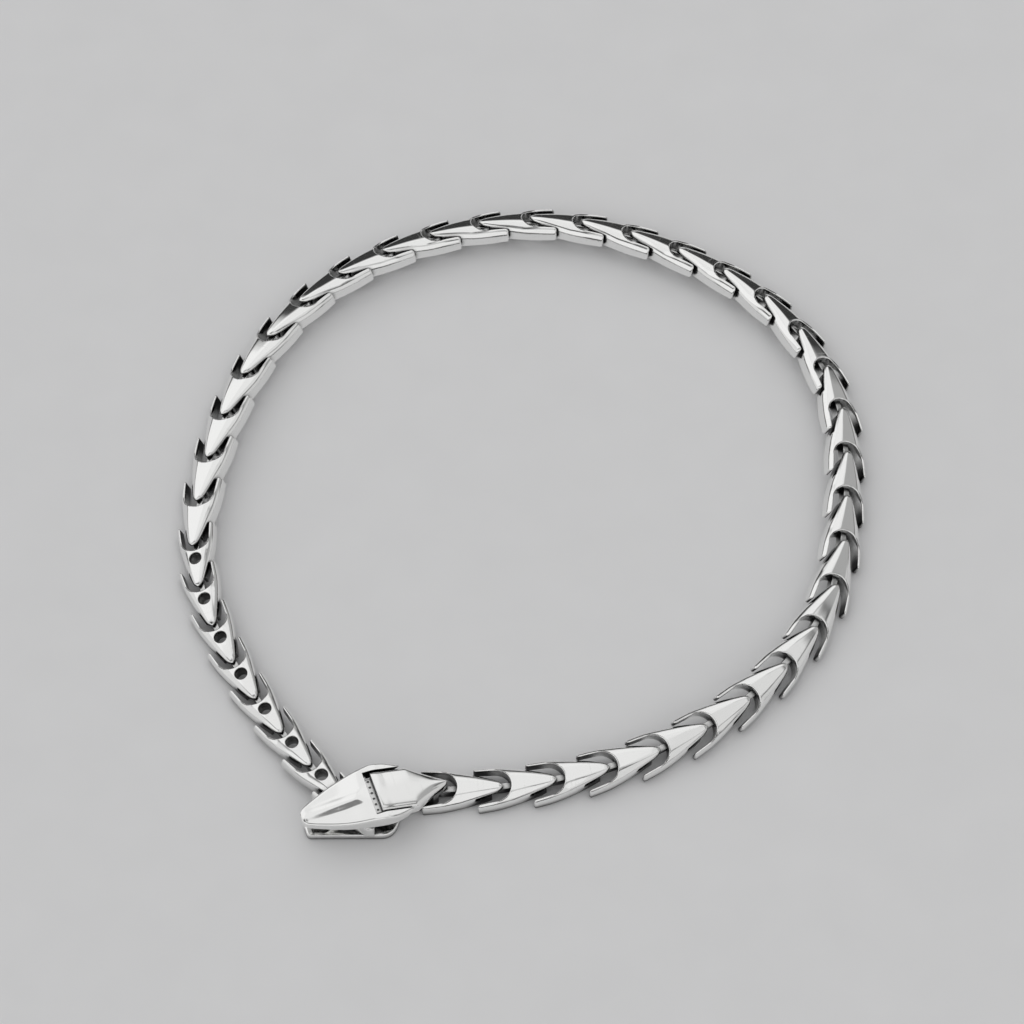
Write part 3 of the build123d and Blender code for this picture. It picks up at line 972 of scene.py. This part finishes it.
def polishing_marks():
    """Fine wiping lines and a cloudy haze left by the polishing wheel, and sparse scratches from wear."""
    graph, given, made = new_group(
        "polishing_marks",
        [("Place", VECTOR, None), ("Lines per mm", FLOAT, 14.0), ("Cloud size mm", FLOAT, 1.6)],
        ["Lines", "Cloud", "Scratches"],
    )
    in_mm = graph.add("VectorMath", {0: given["Place"], "Scale": 1 / MM}, operation="SCALE")[0]
    wiping = {"Vector": in_mm, "Scale": (0.08, 1.0, 1.0), "Rotation": (0, 0, WIPING_TURN)}
    drawn_out = graph.add("Mapping", wiping)[0]
    lines = graph.add("TexNoise", {"Vector": drawn_out, "Scale": given["Lines per mm"], "Detail": 3})
    graph.feed(made["Lines"], lines["Fac"])
    clouds_per_mm = graph.maths("DIVIDE", 1, given["Cloud size mm"])
    cloud = graph.add("TexNoise", {"Vector": in_mm, "Scale": clouds_per_mm, "Detail": 4})
    graph.feed(made["Cloud"], cloud["Fac"])
    wear = {"Vector": in_mm, "Scale": (1.0, 0.05, 0.6), "Rotation": (0.3, 0.2, SCRATCH_TURN)}
    across = graph.add("Mapping", wear)[0]
    worn = graph.add("TexNoise", {"Vector": across, "Scale": 5, "Detail": 2})
    graph.feed(made["Scratches"], graph.ramp(worn["Fac"], 0.64, 0.72))
    return graph.tree


def recess_shade():
    """How deep in a recess a point lies, from 0 in the open to 1, and how near an outer edge. The recess
    value also counts nearness to the floor, and it is the mask of the painted shade in the metals' colour.
    """
    graph, given, made = new_group("recess_shade", [("Reach mm", FLOAT, 1.0)], ["Recess", "Edge"])
    reach = graph.maths("MULTIPLY", given["Reach mm"], MM)
    hidden = graph.add("AmbientOcclusion", {"Distance": reach}, samples=12)
    graph.feed(made["Recess"], graph.ramp(hidden["AO"], OPEN_VIEW, DEEP_VIEW))
    edge = graph.add("AmbientOcclusion", {"Distance": EDGE_REACH * MM}, inside=True, samples=8)
    graph.feed(made["Edge"], graph.ramp(edge["AO"], 0.25, 0.75))
    return graph.tree


MARKS = polishing_marks()
RECESS = recess_shade()


def metal(name, open_colour, dark, roughness, haze, line_height, reach):
    """Silver-white metal with wiping lines, haze and scratches; its colour is darkened as painted shade in
    its recesses and close to the floor, and it is duller there.
    """
    material, graph, shader = new_material(name)
    graph.feed(shader["Metallic"], 1.0)
    # The marks lie differently on each piece
    apart = graph.add("ObjectInfo", {})["Random"]
    shift = graph.add("CombineXYZ", {"X": apart, "Y": apart, "Z": apart})[0]
    place = graph.add("TexCoord", {})["Object"]
    moved = graph.add("VectorMath", {0: place, 1: shift}, operation="ADD")[0]
    marks = graph.add("Group", {"Place": moved}, node_tree=MARKS)
    deep = graph.add("Group", {"Reach mm": reach}, node_tree=RECESS)
    # Painted shade: the colour passes from the open colour to the dark colour where the point is hidden, in
    # hollows and beside the floor
    graph.feed(shader["Base Color"], graph.blend(deep["Recess"], open_colour, dark))
    # Rougher with haze, lines and scratches and in the recesses, smoother along the edges
    rough = graph.maths("MULTIPLY_ADD", marks["Cloud"], haze, roughness - haze / 2)
    rough = graph.maths("MULTIPLY_ADD", marks["Lines"], haze * LINE_ROUGHNESS, rough)
    rough = graph.maths("MULTIPLY_ADD", marks["Scratches"], SCRATCH_ROUGHNESS, rough)
    rough = graph.maths("MULTIPLY_ADD", deep["Recess"], RECESS_ROUGHNESS, rough)
    rough = graph.maths("MULTIPLY_ADD", deep["Edge"], -EDGE_POLISH, rough, clamped=True)
    graph.feed(shader["Roughness"], rough)
    # Sharp edges catch the light as if very slightly rounded
    soft = graph.add("Bevel", {"Radius": EDGE_SOFTNESS * MM}, samples=4)[0]
    relief = {"Strength": 0.25, "Distance": line_height * MM, "Height": marks["Lines"], "Normal": soft}
    graph.feed(shader["Normal"], graph.add("Bump", relief)[0])
    return material


POLISHED = metal(
    "polished_steel",
    open_colour=(0.90, 0.90, 0.89),
    dark=(0.012, 0.012, 0.013),
    # The dark colour is painted shade for the recesses and close to the floor
    roughness=0.11,
    haze=0.08,
    line_height=0.003,
    reach=1.1,
)
FROSTED = metal(
    "frosted_ledge",
    open_colour=(0.78, 0.78, 0.77),
    # The dark colour is painted shade for the dots and corners of the ledge
    dark=(0.10, 0.10, 0.10),
    roughness=0.34,
    haze=0.12,
    line_height=0.008,
    reach=0.25,
)


# Pieces in their places
def stand_in(piece, node, body, place):
    """Lay a piece where its solid lies and let it stand for the solid."""
    piece.matrix_world = place
    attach(piece, body)
    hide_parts(node)


def polish(mesh):
    """Give a mesh the polished finish alone."""
    mesh.materials.clear()
    mesh.materials.append(POLISHED)


def frost_ledge(mesh):
    """Give the faces of the ledge's top the frosted finish."""
    mesh.materials.append(FROSTED)
    for face in mesh.polygons:
        x, z = face.center.x / MM, face.center.z / MM
        if abs(x - SLOT_AT) < LEDGE_REACH and LEDGE_TOP - FROST_BELOW < z < LEDGE_TOP + FROST_ABOVE:
            face.material_index = 1


for label, names, size, holed, carries_next in (
    ("plain_scale", PLAIN, 1.0, False, True),
    ("drilled_scale", HOLED, TAIL_SIZE, True, True),
    ("last_scale", [LAST], TAIL_SIZE, True, False),
):
    pattern = make_scale(label, size, holed, carries_next)
    scale_mesh = pattern.data
    polish(scale_mesh)
    bpy.data.objects.remove(pattern)
    for node in names:
        piece = bpy.data.objects.new("polished_" + node, scale_mesh)
        bpy.context.scene.collection.objects.link(piece)
        stand_in(piece, node, "bracelet", lie_of(node, size))

# The head's place is read from the hinge, and the height of its neck pin from the first scale
hinge = frame["joints"][0]
head_y = -Vector(hinge["axis"]).normalized()
head_x = head_y.cross(UP)
head_origin = Vector(hinge["pos_m"]) - (head_x * HINGE_AT + UP * HINGE_HEIGHT) * MM
head_place = placed((head_x, head_y, UP), head_origin)
first_pivot = lie_of("link_01", 1.0) @ Vector((0, 0, EYE_RADIUS * MM))

head = make_head((first_pivot.z - head_origin.z) / MM)
polish(head.data)
frost_ledge(head.data)
stand_in(head, "head_base", "bracelet", head_place)

snout = make_snout()
polish(snout.data)
stand_in(snout, "snout", "jaw", head_place)

polish(frame["nodes"]["hinge_pin"].data)


# Floor, light and camera
FLOOR_RADIUS = 2.5
VIEW_CENTRE = Vector((-0.000987, 0.000582, 0.0))
VIEW_DISTANCE = 0.45
VIEW_RISE = math.radians(57.5)
VIEW_LENS = 175.8
SENSOR_WIDTH = 36

# Panels of the light tent: azimuth, height above the horizon, full and faded reach in degrees, strength
PANELS = [
    (105, 74, 22, 28, 0.86),
    (5, 64, 14, 22, 0.74),
    (145, 38, 24, 34, 0.95),
    (225, 32, 24, 33, 0.90),
    (270, 38, 27, 33, 0.85),
    (315, 28, 20, 32, 0.70),
    (38, 30, 14, 26, 0.40),
    (84, 41, 15, 33, 0.90),
    (56, 45, 9, 18, 0.84),
    (270, 68, 10, 18, 0.60),
    (0, 16, 18, 30, 0.62),
    (184, 16, 18, 30, 0.75),
]
# Dark seams between the panels: azimuth, height, full and faded reach in degrees, share of light left
SEAMS = [
    (195, 80, 4, 9, 0.25),
]
TENT_GLOW = 0.04


def floor_finish():
    """Plain pale matt board, very slightly uneven."""
    material, graph, shader = new_material("pale_board")
    graph.feed(shader["Specular IOR Level"], 0.2)
    grain = graph.add("TexNoise", {"Scale": 900})["Fac"]
    graph.feed(shader["Base Color"], graph.blend(grain, (0.76, 0.76, 0.765), (0.80, 0.80, 0.805)))
    graph.feed(shader["Roughness"], graph.ramp(grain, 0, 1, 0.75, 0.9))
    return material


def light_tent():
    """Soft light from panels all round, with dark gaps between them."""
    world = bpy.data.worlds.new("light_tent")
    world.use_nodes = True
    graph = Graph(world.node_tree)
    way = graph.add("TexCoord", {})["Generated"]

    def near(azimuth, rise, full, faded, outside, inside):
        """A value that passes smoothly from outside to inside near a direction."""
        around, up = math.radians(azimuth), math.radians(rise)
        towards = (math.cos(around) * math.cos(up), math.sin(around) * math.cos(up), math.sin(up))
        likeness = graph.add("VectorMath", {0: way, 1: towards}, operation="DOT_PRODUCT")["Value"]
        low, high = math.cos(math.radians(faded)), math.cos(math.radians(full))
        return graph.ramp(likeness, low, high, outside, inside, kind="SMOOTHSTEP")

    light = TENT_GLOW
    for *where, strength in PANELS:
        light = graph.maths("MAXIMUM", light, near(*where, TENT_GLOW, strength))
    for *where, left in SEAMS:
        light = graph.maths("MULTIPLY", light, near(*where, 1, left))
    background = world.node_tree.nodes["Background"].inputs
    graph.feed(background["Strength"], light)
    graph.feed(background["Color"], (1, 1, 1, 1))
    return world


board_mesh = bmesh.new()
bmesh.ops.create_circle(board_mesh, cap_ends=True, radius=FLOOR_RADIUS, segments=64)
board = new_object("floor", board_mesh)
board.data.materials.append(floor_finish())

bpy.context.scene.world = light_tent()

camera_data = bpy.data.cameras.new("camera")
camera_data.lens = VIEW_LENS
camera_data.sensor_width = SENSOR_WIDTH
camera_data.clip_start = 0.01
camera_data.clip_end = 10
camera = bpy.data.objects.new("camera", camera_data)
bpy.context.scene.collection.objects.link(camera)
camera.location = VIEW_CENTRE + VIEW_DISTANCE * Vector((0, -math.cos(VIEW_RISE), math.sin(VIEW_RISE)))
camera.rotation_euler = (math.pi / 2 - VIEW_RISE, 0, 0)
bpy.context.scene.camera = camera
bpy.context.scene.view_settings.view_transform = "Standard"
